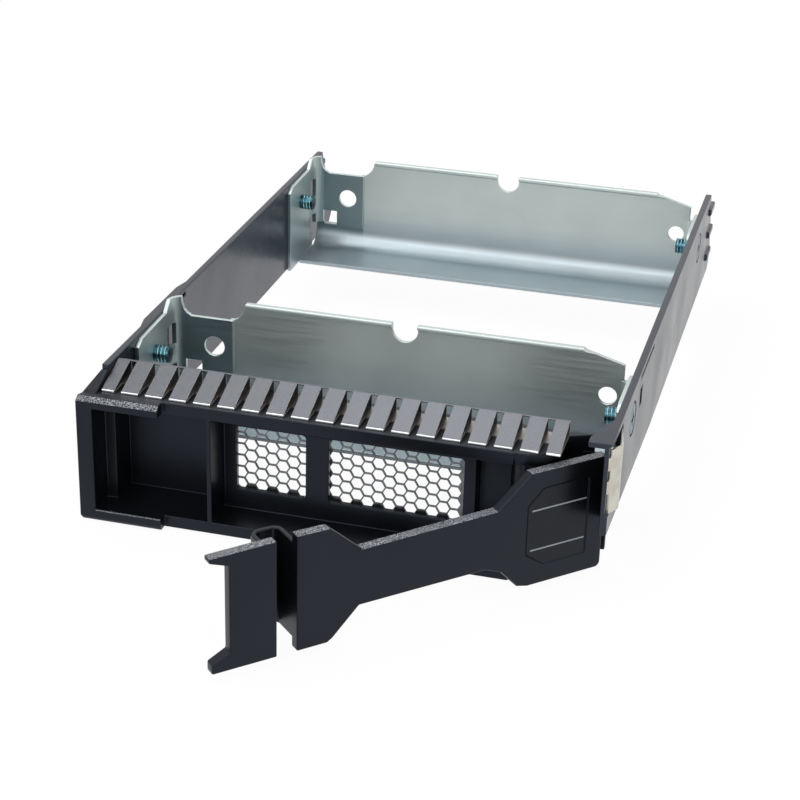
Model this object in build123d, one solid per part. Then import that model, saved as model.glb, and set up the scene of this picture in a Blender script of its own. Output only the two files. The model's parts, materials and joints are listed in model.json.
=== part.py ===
from build123d import *
import math
import os

# Frame: X across the tray, Y into its depth, Z up as it lies. The origin is the centre of the
# bezel's underside, on the plane midway between the side rails.

# Drive geometry that the tray is laid out for
DRIVE_WIDTH = 101.6
HOLE_SPACING = 101.6
DRIVE_FIT = 0.2
SCREW_FROM_FRONT = 30.7
SCREW_BELOW_TOP = 6.9

# Bezel moulding
BEZEL_DEPTH = 15.2
BEZEL_HEIGHT = 28.1
LEFT_OVERHANG = 2.8
BEVEL_HEIGHT = 1.1
BEVEL_DEPTH = 0.7
LIP_REACH = 17.6
BEZEL_WALL = 2.6
UPRIGHT_WIDTH = 3.5
CAVITY_WIDTH = 23.3
CAVITY_BACK = 1.7
PARTITION = 1.0
WINDOW_WALL = 1.5
WINDOW_WALL_DEPTH = 10.2
WINDOW_HEIGHT = 14.2
WINDOW_WIDTH_LEFT = 14.7
WINDOW_BAR = 4.9
WINDOW_FROM_PARTITION = 2.7
WINDOW_FROM_POCKET = 2.5
WINDOW_CORNER = 0.8
POCKET_FROM_RIGHT = 25.8
POCKET_BACK = 1.2
CHEEK_RISE = 3.1
REBATE = 1.2

# Side rails
RAIL_WALL = 1.5
RAIL_HEIGHT = 22.4
RAIL_RISE = 9.7
RAIL_PAST_SCREW = 20.9
RAIL_NOSE = 9.0
NOSE_CHAMFER = 3.0
RAIL_FRONT_LIFT = 2.8
RAIL_TAPER = 33.0
LEFT_RAIL_START = 7.7
RIGHT_RAIL_START = 3.7
HEAD_WELL_D = 7.5
HEAD_WELL_DEPTH = 1.0
RIB_D = 1.8
RIB_LENGTH = 7.0
RIB_PROUD = 0.6
RIB_SPACING = 6.1
RIB_FROM_TOP = 4.2
SWELL = 0.8
SWELL_LENGTH = 23.0
SWELL_RAMP = 4.0
SWELL_FOOT = 1.5
SWELL_PAST_SCREW = 1.4
SHORT_SLOT_LENGTH = 6.0
SLOT_HEIGHT = 0.8
SLOT_FROM_TOP = 1.3
SLOT_LENGTH = 17.3
SLOT_PAST_SCREW = 8.6
LATCH_SLOT_WIDTH = 2.9
LATCH_SLOT_HEIGHT = 4.1
LATCH_SLOT_FROM_TOP = 4.3
GUSSET_REACH = 3.2
GUSSET_LENGTH = 11.5
GUSSET_FLAT = 2.4
GUSSET_SHEET = 1.2

# Cross-members, both of one stamping
SHEET = 0.9
MEMBER_WALL_SETBACK = 13.4
MEMBER_HEIGHT = 24.5
MEMBER_RISE = 9.4
FLANGE_DEPTH = 16.5
FLANGE_BEND = 5.5
FLANGE_GAP = 0.3
TAB_BEND = 3.4
TAB_LENGTH = 21.9
TAB_HEIGHT = 22.0
TAB_CORNER = 2.5
JOGGLE = 0.8
PANEL_RIGHT = -36.9
PANEL_HEIGHT = 20.2
LIP_LEFT = -34.0
LIP_RIGHT = 39.7
LIP_DEPTH = 0.8
LIP_HEIGHT = 1.3
EAR_HEIGHT = 21.6
EAR_END = 2.6
VEE_HEIGHT = 18.0
NOTCH_X = 1.35
NOTCH_D = 5.6
NOTCH_Z = 23.0
PEG_HOLES = ((-41.2, 13.7, 4.6), (45.2, 14.2, 4.0))
SQUARE_HOLE = 3.7
SQUARE_HOLE_AT = (-46.0, 8.0)
TAB_WINDOW_WIDTH = 3.8
TAB_WINDOW_HEIGHT = 5.0
TAB_WINDOW_TOP = 18.6
TAB_WINDOW_PITCH = 9.6
TAB_WINDOW_BACK = 1.9

# Machine screws into the drive's side threads
THREAD_D = 3.5
HEAD_D = 7.0
HEAD_HEIGHT = 0.95
HEAD_CHAMFER = 0.35
SCREW_LENGTH = 4.6
HOLE_CLEARANCE = 0.1
CROSS_LENGTH = 3.4
CROSS_WIDTH = 0.7
CROSS_DEPTH = 0.6

# Lever, drawn shut and then swung open about its pin
OPEN_ANGLE = 45.25
PIVOT_FROM_RIGHT = 15.7
PIVOT_BEHIND_FRONT = 9.7
LEVER_THICKNESS = 2.3
LEVER_GAP = 0.1
LEVER_FROM_RIGHT = 3.6
LEVER_BOTTOM = 1.35
LEVER_HEIGHT = 24.6
LEVER_END_GAP = 0.5
HEEL_GAP = 0.3
WAIST_LOW = 6.2
WAIST_HIGH = 17.9
TAB_WIDTH = 13.2
TAB_GAP = 4.0
KNUCKLE_D = 6.0
ARM_WIDTH = 4.4
PIN_D = 2.5
PIN_FIT = 0.02
PIN_RUN = 0.05
PIN_SHY = 0.3
END_PLAY = 0.25
LEAF = 1.0
LEAF_REACH = 6.4
LEAF_RADIUS = 1.6

# Finger strip
STRIP_SHEET = 0.2
FINGER_PITCH = 5.1
FINGER_WIDTH = 3.55
FIRST_FINGER_WIDTH = 2.75
STRIP_FROM_RIGHT = 8.3
STRIP_FROM_LEFT = 0.1
STRIP_BEHIND_FRONT = 13.3
ROLL_RISE = 3.5
ROLL_RADIUS = 0.7
FINGER_RUN = 9.8
FINGER_END_RISE = 0.5
SPINE = 5.1

# Perforated screen
SCREEN_SHEET = 0.4
HEX_PITCH_X = 2.25
HEX_ACROSS_FLATS = 2.3
HEX_WEB = 0.3
SCREEN_MARGIN = 1.6

# Earthing clip hooked into the right rail's front edge
CLIP_SHEET = 0.4
CLIP_HEIGHT = 13.7
CLIP_FROM_TOP = 1.9
CLIP_LENGTH = 12.0
CLIP_STAND = 1.3
CLIP_BOW = 4.2
CLIP_SEAT = 1.9
CLIP_SEAT_DEPTH = 0.6
PRONG_HEIGHT = 2.7
PRONG_PITCH = 5.0
CLIP_WINDOW_HEIGHT = 6.2

# Label film in the lever's recess
FILM = 0.15
RECESS_DEPTH = 0.3
LABEL_EDGE_GAP = 0.15
LABEL_CORNER = 0.8

FRONT = -BEZEL_DEPTH / 2
BACK = BEZEL_DEPTH / 2
FACE = FRONT + LEVER_THICKNESS + LEVER_GAP
RAIL_IN = DRIVE_WIDTH / 2 + DRIVE_FIT
RAIL_OUT = RAIL_IN + RAIL_WALL
RAIL_TOP = RAIL_RISE + RAIL_HEIGHT
SCREW_Y = FRONT + SCREW_FROM_FRONT
SCREW_Z = RAIL_TOP - SCREW_BELOW_TOP
RAIL_END_Y = SCREW_Y + HOLE_SPACING + RAIL_PAST_SCREW
BEZEL_LEFT = -RAIL_OUT - LEFT_OVERHANG
LIP_END = BEZEL_LEFT + LIP_REACH
CAVITY_LEFT = BEZEL_LEFT + UPRIGHT_WIDTH
CAVITY_RIGHT = CAVITY_LEFT + CAVITY_WIDTH
POCKET_LEFT = RAIL_IN - POCKET_FROM_RIGHT
INNER_TOP = BEZEL_HEIGHT - BEZEL_WALL
WINDOW_Y = FRONT + WINDOW_WALL_DEPTH
WINDOW_Z = BEZEL_HEIGHT / 2
WINDOW_START = CAVITY_RIGHT + PARTITION + WINDOW_FROM_PARTITION
WINDOW_SPLIT = WINDOW_START + WINDOW_WIDTH_LEFT
WINDOW_SPANS = (
    (WINDOW_START, WINDOW_SPLIT),
    (WINDOW_SPLIT + WINDOW_BAR, POCKET_LEFT - WINDOW_FROM_POCKET),
)
PIVOT_X = RAIL_IN - PIVOT_FROM_RIGHT
PIVOT_Y = FRONT + PIVOT_BEHIND_FRONT
LEVER_LEFT = LIP_END + LEVER_END_GAP
LEVER_RIGHT = RAIL_IN - LEVER_FROM_RIGHT


def block(x0, x1, y0, y1, z0, z1):
    return Pos((x0 + x1) / 2, (y0 + y1) / 2, (z0 + z1) / 2) * Box(x1 - x0, y1 - y0, z1 - z0)


def side_plate(points, x0, x1):
    """Closed outline in (y, z) drawn out along X."""
    face = make_face(Polyline(*[(x0, y, z) for y, z in points], close=True))
    return extrude(face, amount=x1 - x0, dir=(1, 0, 0))


def front_plate(points, y0, y1):
    """Closed outline in (x, z) drawn out along Y."""
    face = make_face(Polyline(*[(x, y0, z) for x, z in points], close=True))
    return extrude(face, amount=y1 - y0, dir=(0, 1, 0))


def plan_plate(points, z0, z1):
    """Closed outline in (x, y) drawn out along Z."""
    face = make_face(Polyline(*[(x, y, z0) for x, y in points], close=True))
    return extrude(face, amount=z1 - z0, dir=(0, 0, 1))


def upright(x, y, z0, z1, diameter):
    return Pos(x, y, (z0 + z1) / 2) * Cylinder(diameter / 2, z1 - z0)


def across(x0, x1, y, z, diameter):
    return Pos((x0 + x1) / 2, y, z) * Rot(0, 90, 0) * Cylinder(diameter / 2, x1 - x0)


def through_y(x, z, y0, y1, diameter):
    return Pos(x, (y0 + y1) / 2, z) * Rot(90, 0, 0) * Cylinder(diameter / 2, y1 - y0)


def mirrored(solid):
    return mirror(solid, about=Plane.YZ)


def bend(start, end, centre):
    """Quarter arc of a folded sheet about the given centre."""
    a, b, c = Vector(*start), Vector(*end), Vector(*centre)
    middle = (a + b) / 2 - c
    return ThreePointArc(a, c + middle.normalized() * (a - c).length, b)


def heel_sweep(inner, outer, z0, z1):
    """Ring sector that the lever's heel passes through, from shut to open."""
    ring = upright(PIVOT_X, PIVOT_Y, z0, z1, 2 * outer) - upright(PIVOT_X, PIVOT_Y, z0 - 1, z1 + 1, 2 * inner)
    reach = 2 * outer
    shut = math.radians(-100)
    opened = math.radians(24)
    corner = (PIVOT_X + reach, PIVOT_Y - reach)
    wedge = plan_plate(
        [
            (PIVOT_X, PIVOT_Y),
            (PIVOT_X + reach * math.cos(shut), PIVOT_Y + reach * math.sin(shut)),
            corner,
            (PIVOT_X + reach * math.cos(opened), PIVOT_Y + reach * math.sin(opened)),
        ],
        z0,
        z1,
    )
    return ring & wedge


def bezel_body():
    """Bevelled bar with its raised lips, before the openings."""
    section = [
        (FRONT, BEVEL_HEIGHT),
        (FRONT + BEVEL_DEPTH, 0),
        (BACK, 0),
        (BACK, BEZEL_HEIGHT),
        (FRONT + BEVEL_DEPTH, BEZEL_HEIGHT),
        (FRONT, BEZEL_HEIGHT - BEVEL_HEIGHT),
    ]
    body = side_plate(section, BEZEL_LEFT, RAIL_IN)
    # Outside of the left cheek tapers back to the rail, which runs on behind it
    taper = [
        (BEZEL_LEFT - 1, FRONT),
        (BEZEL_LEFT, FRONT),
        (-RAIL_OUT, FRONT + LEFT_RAIL_START),
        (-RAIL_IN, FRONT + LEFT_RAIL_START),
        (-RAIL_IN, BACK + 1),
        (BEZEL_LEFT - 1, BACK + 1),
    ]
    body -= plan_plate(taper, -1, BEZEL_HEIGHT + 1)
    # Everything right of the lips stands back behind the lever
    return body - block(LIP_END, RAIL_IN + 1, FRONT - 1, FACE, -1, BEZEL_HEIGHT + 1)


def bezel_hollows():
    """Finger recess, open window bay and lever pocket."""
    low = BEZEL_WALL
    rebate = FRONT + LEFT_RAIL_START - REBATE
    bay = CAVITY_RIGHT + PARTITION
    hollows = [
        block(CAVITY_LEFT, CAVITY_RIGHT, FRONT - 1, rebate, low, INNER_TOP),
        block(-RAIL_IN + RAIL_WALL, CAVITY_RIGHT, FRONT, BACK - CAVITY_BACK, low, INNER_TOP),
        block(bay, POCKET_LEFT, FRONT, WINDOW_Y, low, INNER_TOP),
        block(POCKET_LEFT, RAIL_IN + 1, FRONT, BACK - POCKET_BACK, low, INNER_TOP),
        block(bay, POCKET_LEFT - WINDOW_WALL, WINDOW_Y + WINDOW_WALL, BACK + 1, low, INNER_TOP),
    ]
    z0 = WINDOW_Z - WINDOW_HEIGHT / 2
    for x0, x1 in WINDOW_SPANS:
        hole = block(x0, x1, WINDOW_Y - 1, WINDOW_Y + WINDOW_WALL + 1, z0, z0 + WINDOW_HEIGHT)
        hollows.append(fillet(hole.edges().filter_by(Axis.Y), WINDOW_CORNER))
    return hollows


def cheek():
    """Left cheek that climbs from the lip to the rail's top."""
    low = BEZEL_HEIGHT - BEVEL_HEIGHT - 1
    high = BEZEL_HEIGHT + CHEEK_RISE
    end = FRONT + LEFT_RAIL_START
    plan = [(BEZEL_LEFT, FRONT), (-RAIL_OUT, end), (-RAIL_IN, end), (CAVITY_LEFT, FRONT)]
    slope = [(FRONT, low), (FRONT, BEZEL_HEIGHT - BEVEL_HEIGHT), (end, high), (end, low)]
    return plan_plate(plan, low, high) & side_plate(slope, BEZEL_LEFT, -RAIL_IN + 1)


def bezel():
    body = bezel_body() - bezel_hollows()
    # Way through the top and floor for the swinging heel
    near = PIVOT_BEHIND_FRONT - LEVER_THICKNESS - HEEL_GAP
    far = 2 * math.hypot(LEVER_RIGHT - PIVOT_X, PIVOT_BEHIND_FRONT)
    body -= heel_sweep(near, far, INNER_TOP - 1, BEZEL_HEIGHT + 1)
    body -= heel_sweep(near, far, -1, BEZEL_WALL + 1)
    body -= upright(PIVOT_X, PIVOT_Y, -1, BEZEL_HEIGHT + 1, PIN_D + 2 * PIN_FIT)
    return body + cheek()


def rail_outline(start):
    """Side view of a rail in (y, z), from its front end to the sloped nose."""
    y0 = FRONT + start
    return [
        (y0, RAIL_RISE + RAIL_FRONT_LIFT),
        (SCREW_Y + RAIL_TAPER, RAIL_RISE),
        (RAIL_END_Y + RAIL_NOSE - NOSE_CHAMFER, RAIL_RISE),
        (RAIL_END_Y + RAIL_NOSE, RAIL_RISE + NOSE_CHAMFER),
        (RAIL_END_Y, RAIL_TOP),
        (y0, RAIL_TOP),
    ]


def right_blank_rail(start):
    """Rail wall on the right-hand side with what both rails share."""
    rail = side_plate(rail_outline(start), RAIL_IN, RAIL_OUT)
    for y in (SCREW_Y, SCREW_Y + HOLE_SPACING):
        rail -= across(RAIL_OUT - HEAD_WELL_DEPTH, RAIL_OUT + 1, y, SCREW_Z, HEAD_WELL_D)
        rail -= across(RAIL_IN - 1, RAIL_OUT + 1, y, SCREW_Z, THREAD_D + 4 * HOLE_CLEARANCE)
    # Three guide ribs at the nose
    for i in range(3):
        z = RAIL_TOP - RIB_FROM_TOP - i * RIB_SPACING
        rib = through_y(RAIL_OUT, z, RAIL_END_Y - 2, RAIL_END_Y - 2 + RIB_LENGTH, RIB_D)
        x0 = RAIL_IN + RAIL_WALL / 2
        proud = block(x0, RAIL_OUT + RIB_PROUD, SCREW_Y, RAIL_END_Y + RAIL_NOSE, RAIL_RISE, RAIL_TOP)
        rail += rib & proud
    return rail


def clip_window():
    """Opening behind the earthing clip, in side view, cut off by the rail's sloping web."""
    y0 = FRONT + RIGHT_RAIL_START + CLIP_SEAT
    y1 = FRONT + RIGHT_RAIL_START + CLIP_LENGTH + 2
    z1 = RAIL_TOP - SLOT_FROM_TOP
    return side_plate(
        [(y0 + 1, z1 - CLIP_WINDOW_HEIGHT), (y1, z1 - CLIP_WINDOW_HEIGHT), (y1 - 1, z1 - 0.2), (y0 + 1, z1)],
        RAIL_IN - 1,
        RAIL_OUT + 1,
    )


def right_rail():
    rail = right_blank_rail(RIGHT_RAIL_START)
    y0 = FRONT + RIGHT_RAIL_START
    slot = SCREW_Y + SLOT_PAST_SCREW
    slot_z = RAIL_TOP - SLOT_FROM_TOP
    latch_z = RAIL_TOP - LATCH_SLOT_FROM_TOP
    outer = RAIL_OUT + 1
    rail -= block(RAIL_IN - 1, outer, slot, slot + SLOT_LENGTH, slot_z - SLOT_HEIGHT, slot_z)
    rail -= block(RAIL_IN - 1, outer, slot, slot + LATCH_SLOT_WIDTH, latch_z - LATCH_SLOT_HEIGHT, latch_z)
    rail -= clip_window()
    # Seat for the clip's prongs in the front edge
    seat_z = RAIL_TOP - CLIP_FROM_TOP - CLIP_HEIGHT
    seat_top = RAIL_TOP - CLIP_FROM_TOP / 3
    rail -= block(RAIL_OUT - CLIP_SEAT_DEPTH, outer, y0 - 1, y0 + CLIP_SEAT + 1, seat_z, seat_top)
    # Web that ties the rail's front corner inwards at its top edge
    inner = RAIL_IN - GUSSET_REACH
    web = [(RAIL_IN, y0), (RAIL_IN, y0 + GUSSET_LENGTH), (inner, y0 + GUSSET_FLAT), (inner, y0)]
    return rail + plan_plate(web, RAIL_TOP - GUSSET_SHEET, RAIL_TOP)


def left_rail():
    rail = mirrored(right_blank_rail(LEFT_RAIL_START))
    start = SCREW_Y + SWELL_PAST_SCREW
    end = start + SWELL_LENGTH
    # Shallow swelling of the wall beside the front member
    swell = [
        (-RAIL_OUT, start - SWELL_RAMP),
        (-RAIL_OUT - SWELL, start),
        (-RAIL_OUT - SWELL, end - SWELL_RAMP),
        (-RAIL_OUT, end),
    ]
    pad = plan_plate(swell, RAIL_RISE + SWELL_FOOT, RAIL_TOP)
    rail += pad - across(-RAIL_OUT - 3, -RAIL_OUT + 1, SCREW_Y, SCREW_Z, HEAD_WELL_D)
    slot = start + SWELL_LENGTH - SWELL_RAMP - SHORT_SLOT_LENGTH
    slot_z = RAIL_TOP - SLOT_HEIGHT
    cut = block(-RAIL_OUT - 2, -RAIL_IN + 1, slot, slot + SHORT_SLOT_LENGTH, slot_z - SLOT_HEIGHT, slot_z)
    return rail - cut


def member_wall():
    """Pressed wall with its rounded lower flange and small forward top lip."""
    z0 = MEMBER_RISE
    top = z0 + MEMBER_HEIGHT
    centre = (0, -FLANGE_BEND, z0 + FLANGE_BEND)
    front = -SHEET
    inner = (0, -FLANGE_BEND, z0 + SHEET)
    upper = Polyline(
        (0, 0, z0 + FLANGE_BEND),
        (0, 0, top - 0.5),
        (0, -0.4, top),
        (0, front - LIP_DEPTH + 0.2, top),
        (0, front - LIP_DEPTH, top - 0.3),
        (0, front - LIP_DEPTH, top - 0.8),
        (0, front, top - LIP_HEIGHT),
        (0, front, z0 + FLANGE_BEND),
    )
    lower = Polyline(
        inner,
        (0, -FLANGE_DEPTH, z0 + SHEET),
        (0, -FLANGE_DEPTH, z0),
        (0, -FLANGE_BEND, z0),
    )
    bend_out = bend((0, -FLANGE_BEND, z0), (0, 0, z0 + FLANGE_BEND), centre)
    bend_in = bend((0, front, z0 + FLANGE_BEND), inner, centre)
    face = make_face([bend_out, upper, bend_in, lower])
    return Pos(-RAIL_OUT, 0, 0) * extrude(face, amount=2 * RAIL_OUT, dir=(1, 0, 0))


def member_outline():
    """Front view of the wall right of the joggled panel, with its stepped top edge."""
    z0 = MEMBER_RISE
    top = z0 + MEMBER_HEIGHT
    edge = RAIL_IN - TAB_BEND
    ear = RAIL_IN - EAR_END
    flange = RAIL_IN - SHEET - FLANGE_GAP
    relief = z0 + FLANGE_BEND + 1
    step = PANEL_RIGHT - SHEET
    return [
        (-flange, z0 - 1),
        (flange, z0 - 1),
        (flange, relief),
        (edge, relief),
        (edge, z0 + VEE_HEIGHT),
        (ear, z0 + VEE_HEIGHT),
        (ear, z0 + EAR_HEIGHT),
        (LIP_RIGHT + 0.5, top - 0.6),
        (LIP_RIGHT, top),
        (LIP_LEFT, top),
        (LIP_LEFT - 0.3, top - 1.1),
        (LIP_LEFT - 1.0, top - 2.7),
        (LIP_LEFT - 2.0, top - 3.8),
        (PANEL_RIGHT, z0 + PANEL_HEIGHT),
        (step, z0 + PANEL_HEIGHT),
        (step, relief),
        (-flange, relief),
    ]


def joggled_panel():
    """Left end of the wall, set forward, with its top edge dipping between tab and lip."""
    z0 = MEMBER_RISE
    edge = -RAIL_IN + TAB_BEND
    shape = [
        (edge, z0 + FLANGE_BEND),
        (PANEL_RIGHT, z0 + FLANGE_BEND),
        (PANEL_RIGHT, z0 + PANEL_HEIGHT),
        (edge + 1.2, z0 + PANEL_HEIGHT),
        (edge, z0 + PANEL_HEIGHT + 0.7),
    ]
    return front_plate(shape, -SHEET - JOGGLE, -JOGGLE)


def member_tab(height):
    """Right-hand tab with its bend, in plan, from the wall forward along the rail."""
    z0 = MEMBER_RISE
    x = RAIL_IN
    start = x - TAB_BEND
    front = -TAB_LENGTH
    centre = (start, -TAB_BEND)
    outline = [
        Line((start, 0), (start, -SHEET)),
        bend((start, -SHEET), (x - SHEET, -TAB_BEND), centre),
        Polyline((x - SHEET, -TAB_BEND), (x - SHEET, front), (x, front), (x, -TAB_BEND)),
        bend((x, -TAB_BEND), (start, 0), centre),
    ]
    relief = z0 + FLANGE_BEND + 1
    tab = Pos(0, 0, z0) * extrude(make_face(outline), amount=height)
    tab -= block(start - 1, x + 1, -TAB_BEND, 1, z0 - 1, relief)
    for top in (TAB_WINDOW_TOP, TAB_WINDOW_TOP - TAB_WINDOW_PITCH):
        back = -TAB_WINDOW_BACK
        z1 = z0 + top
        tab -= block(start + 1, x + 1, back - TAB_WINDOW_WIDTH, back, z1 - TAB_WINDOW_HEIGHT, z1)
    return tab


def left_tab():
    """Tab whose top edge climbs to a peak at the bend."""
    z0 = MEMBER_RISE
    front = -TAB_LENGTH
    rise = z0 + TAB_HEIGHT
    peak = z0 + MEMBER_HEIGHT
    edge = -RAIL_IN + TAB_BEND
    spare = [
        (front - 1, rise - 1.2),
        (front, rise - 1.2),
        (front + TAB_CORNER, rise),
        (-6.0, rise + 0.3),
        (-3.6, peak),
        (1, peak),
        (1, peak + 3),
        (front - 1, peak + 3),
    ]
    dip = [
        (edge - 1.1, peak + 1),
        (edge - 0.9, rise + 1.0),
        (edge - 0.5, z0 + PANEL_HEIGHT + 1.4),
        (edge + 0.1, z0 + PANEL_HEIGHT + 0.7),
        (edge + 0.1, peak + 1),
    ]
    tab = mirrored(member_tab(MEMBER_HEIGHT + 1))
    tab -= side_plate(spare, -RAIL_OUT, edge + 1)
    tab -= front_plate(dip, -2, 1)
    return Pos(0, -JOGGLE, 0) * tab


def right_tab():
    """Tab parted from the wall's ear by a V-shaped notch at the bend."""
    z0 = MEMBER_RISE
    front = -TAB_LENGTH
    rise = z0 + TAB_HEIGHT
    spare = [
        (front - 1, rise - 1.2),
        (front, rise - 1.2),
        (front + TAB_CORNER, rise),
        (-7.9, rise),
        (-5.2, rise - 0.5),
        (-2.2, z0 + VEE_HEIGHT),
        (1, z0 + VEE_HEIGHT),
        (1, rise + 3),
        (front - 1, rise + 3),
    ]
    return member_tab(TAB_HEIGHT + 1) - side_plate(spare, RAIL_IN - TAB_BEND - 1, RAIL_OUT)


def cross_member(wall_y):
    z0 = MEMBER_RISE
    notch_z = z0 + NOTCH_Z
    sheet = member_wall() & front_plate(member_outline(), -FLANGE_DEPTH - 1, 1)
    body = sheet + joggled_panel() + left_tab() + right_tab()
    body -= through_y(NOTCH_X, notch_z, -5, 5, NOTCH_D)
    body -= block(NOTCH_X - NOTCH_D / 2, NOTCH_X + NOTCH_D / 2, -5, 5, notch_z, notch_z + 5)
    for x, z, diameter in PEG_HOLES:
        body -= through_y(x, z0 + z, -5, 5, diameter)
    x, z = SQUARE_HOLE_AT
    half = SQUARE_HOLE / 2
    body -= block(x - half, x + half, -5, 5, z0 + z - half, z0 + z + half)
    body = Pos(0, wall_y, 0) * body
    screw_y = wall_y - MEMBER_WALL_SETBACK
    return body - across(-RAIL_OUT, RAIL_OUT, screw_y, SCREW_Z, THREAD_D + HOLE_CLEARANCE)


def drive_screw(y):
    """Right-hand screw: chamfered head in the rail's well, thread through the tab."""
    seat = RAIL_OUT - HEAD_WELL_DEPTH
    top = seat + HEAD_HEIGHT
    shank = across(seat - SCREW_LENGTH, seat + 0.1, y, SCREW_Z, THREAD_D)
    head = across(seat, top, y, SCREW_Z, HEAD_D)
    head = chamfer(head.edges().filter_by(GeomType.CIRCLE).sort_by(Axis.X)[-1], HEAD_CHAMFER)
    long, narrow = CROSS_LENGTH / 2, CROSS_WIDTH / 2
    floor = top - CROSS_DEPTH
    cross = block(floor, top + 1, y - long, y + long, SCREW_Z - narrow, SCREW_Z + narrow)
    cross += block(floor, top + 1, y - narrow, y + narrow, SCREW_Z - long, SCREW_Z + long)
    return shank + head - cross


def screws():
    right = [drive_screw(y) for y in (SCREW_Y, SCREW_Y + HOLE_SPACING)]
    return Compound(children=right + [mirrored(s) for s in right])


def lever_outline():
    """Front view of the shut lever's main plate in (x, z)."""
    right = LEVER_RIGHT
    left = LEVER_LEFT + TAB_WIDTH + TAB_GAP
    bottom = LEVER_BOTTOM
    top = bottom + LEVER_HEIGHT
    low = bottom + WAIST_LOW
    high = bottom + WAIST_HIGH
    return [
        (right, bottom + 2.2),
        (right - 4.2, bottom + 2.2),
        (right - 5.2, bottom),
        (right - 17.2, bottom),
        (right - 19.6, bottom + 0.6),
        (right - 23.4, low - 1.5),
        (right - 27.1, low),
        (left + 12.9, low),
        (left + 7.5, bottom + 0.8),
        (left + 6.3, bottom),
        (left, bottom),
        (left, top - 0.6),
        (left + 6.6, top - 0.7),
        (left + 13.3, high),
        (right - 24.8, high + 0.4),
        (right - 17.4, top),
        (right, top),
    ]


def label_recess(gap, y0, y1):
    """Sunken field for the label, drawn in by the film's edge gap."""
    left = LEVER_RIGHT - 17.9 + gap
    right = LEVER_RIGHT - 4.0 - gap
    low = LEVER_BOTTOM + 4.1 + gap
    high = LEVER_BOTTOM + 20.9 - gap
    shape = [
        (left, low + 2.9),
        (left, high - 3.2),
        (left + 3.5, high),
        (right, high),
        (right, low),
        (right - 9.6, low),
    ]
    return fillet(front_plate(shape, y0, y1).edges().filter_by(Axis.Y), LABEL_CORNER)


def latch_tab(y0, y1):
    """Tab at the lever's free end, with its two wing tips."""
    right = LEVER_LEFT + TAB_WIDTH
    left = LEVER_LEFT
    bottom = LEVER_BOTTOM
    top = bottom + LEVER_HEIGHT
    shape = [
        (right, bottom),
        (right, top - 0.6),
        (left, top - 0.8),
        (left, top - 1.8),
        (left + 3.8, top - 3.2),
        (left + 3.8, bottom + 3.8),
        (left + 0.2, bottom + 2.0),
        (left + 0.2, bottom),
    ]
    return front_plate(shape, y0, y1)


def spring_leaf(y1):
    """Loop in plan that joins the tab to the plate behind their gap."""
    right = LEVER_LEFT + TAB_WIDTH + TAB_GAP + LEAF / 2
    left = LEVER_LEFT + TAB_WIDTH - LEAF
    back = y1 + LEAF_REACH
    path = FilletPolyline(
        (right, y1 - LEAF / 2),
        (right, back),
        (left, back),
        (left, y1 - LEAF / 2),
        radius=LEAF_RADIUS,
    )
    band = make_face(offset(path, amount=LEAF / 2))
    return Pos(0, 0, LEVER_BOTTOM + 2.0) * extrude(band, amount=LEVER_HEIGHT - 4.6)


def lever_shut():
    """One moulding: plate, latch tab on its spring leaf, arm and knuckle."""
    y0 = FRONT
    y1 = FRONT + LEVER_THICKNESS
    plate = front_plate(lever_outline(), y0, y1)
    plate -= label_recess(0, y0 - 1, y0 + RECESS_DEPTH)
    # Arm from the plate's back to the knuckle round the pin
    low = BEZEL_WALL + END_PLAY
    high = INNER_TOP - END_PLAY
    half = ARM_WIDTH / 2
    knuckle = upright(PIVOT_X, PIVOT_Y, low, high, KNUCKLE_D)
    arm = block(PIVOT_X - half, PIVOT_X + half, y1 - 0.5, PIVOT_Y, low, high)
    lever = plate + latch_tab(y0, y1) + spring_leaf(y1) + knuckle + arm
    return lever - upright(PIVOT_X, PIVOT_Y, low - 1, high + 1, PIN_D + 2 * PIN_RUN)


def swung(solid):
    """Carry a piece drawn on the shut lever to the open pose."""
    return Pos(PIVOT_X, PIVOT_Y, 0) * Rot(0, 0, OPEN_ANGLE) * Pos(-PIVOT_X, -PIVOT_Y, 0) * solid


def label_shut():
    y = FRONT + RECESS_DEPTH
    return label_recess(LABEL_EDGE_GAP, y - FILM, y)


def pivot_pin():
    return upright(PIVOT_X, PIVOT_Y, PIN_SHY, BEZEL_HEIGHT - PIN_SHY, PIN_D)


def finger_strip():
    """Folded spring strip: comb on the bezel's top, rear leg, roll and sloping fingers."""
    t = STRIP_SHEET
    z = BEZEL_HEIGHT
    y1 = FRONT + STRIP_BEHIND_FRONT
    y0 = y1 - FINGER_RUN
    crest = z + ROLL_RISE
    outline = [
        (y0 + 0.6, z),
        (y1, z),
        (y1, crest - ROLL_RADIUS),
        (y1 - 0.3 * ROLL_RADIUS, crest - 0.3 * ROLL_RADIUS),
        (y1 - ROLL_RADIUS, crest),
        (y1 - 2 * ROLL_RADIUS, crest - 0.2 * ROLL_RADIUS),
        (y0, z + FINGER_END_RISE),
        (y0 - 0.05, z + 0.02),
        (y0 + t, z + 0.02),
        (y0 + t, z + FINGER_END_RISE - t),
        (y1 - 2 * ROLL_RADIUS, crest - 0.2 * ROLL_RADIUS - t),
        (y1 - ROLL_RADIUS, crest - t),
        (y1 - 0.3 * ROLL_RADIUS - t, crest - ROLL_RADIUS),
        (y1 - t, crest - 1.4 * ROLL_RADIUS),
        (y1 - t, z + t),
        (y0 + 0.6, z + t),
    ]
    x0 = -RAIL_IN + STRIP_FROM_LEFT
    x1 = RAIL_IN - STRIP_FROM_RIGHT
    strip = side_plate(outline, x0, x1)
    gap = FINGER_PITCH - FINGER_WIDTH
    right = x1 - FIRST_FINGER_WIDTH
    while right - gap > x0 + 1:
        strip -= block(right - gap, right, y0 - 1, y1 + 1, z + t, crest + 1)
        strip -= block(right - gap, right, y0 - 1, y1 - SPINE, z - 1, z + 1)
        right -= FINGER_PITCH
    return strip


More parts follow.
